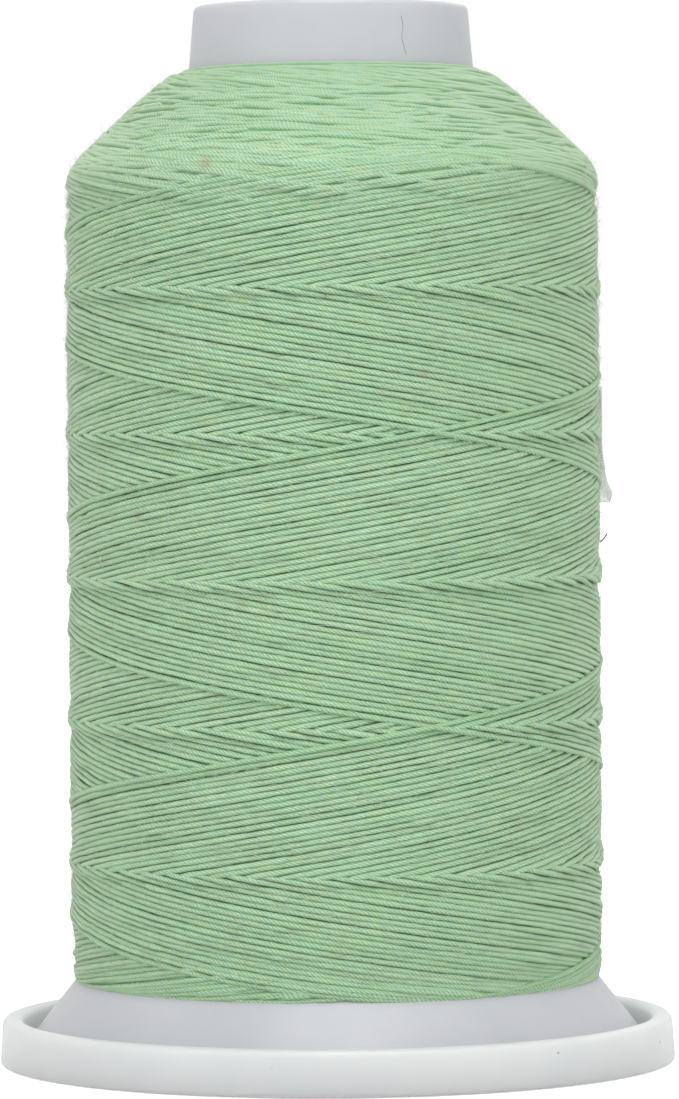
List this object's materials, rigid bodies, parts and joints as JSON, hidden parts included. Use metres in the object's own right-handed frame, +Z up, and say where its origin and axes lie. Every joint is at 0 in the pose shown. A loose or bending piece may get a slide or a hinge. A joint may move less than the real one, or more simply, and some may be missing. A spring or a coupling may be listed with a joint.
{
  "type": "spool of thread",
  "caption": "Snap-base spool of sewing thread: green cross-wound thread with a sloped shoulder on a white tapered core that stands in a dished base with a rim.",
  "frame": {"origin": "middle of the snap base's underside, on the spool's axis", "axes": "+Z up the spool's axis towards the collar, -Y towards the front as pictured, +X to its right"},
  "size_m": [0.052, 0.052, 0.081],
  "materials": {
    "base_plastic": "white moulded polypropylene, satin",
    "core_plastic": "white moulded polypropylene, satin",
    "package_thread": "pale green plied cotton thread, wound",
    "strand_thread": "pale green plied cotton thread",
    "clear_film": "clear thin film, slightly crumpled"
  },
  "bodies": {
    "base": {"snap_base": "base_plastic"},
    "spool": {"spool_core": "core_plastic", "thread_package": "package_thread", "outer_winding": "strand_thread", "tail_tape": "clear_film"}
  },
  "joints": [
    {"name": "snap_slide", "type": "slide", "parent": "base", "child": "spool", "axis": [0, 0, 1], "range_m": [0, 0.0025]}
  ]
}
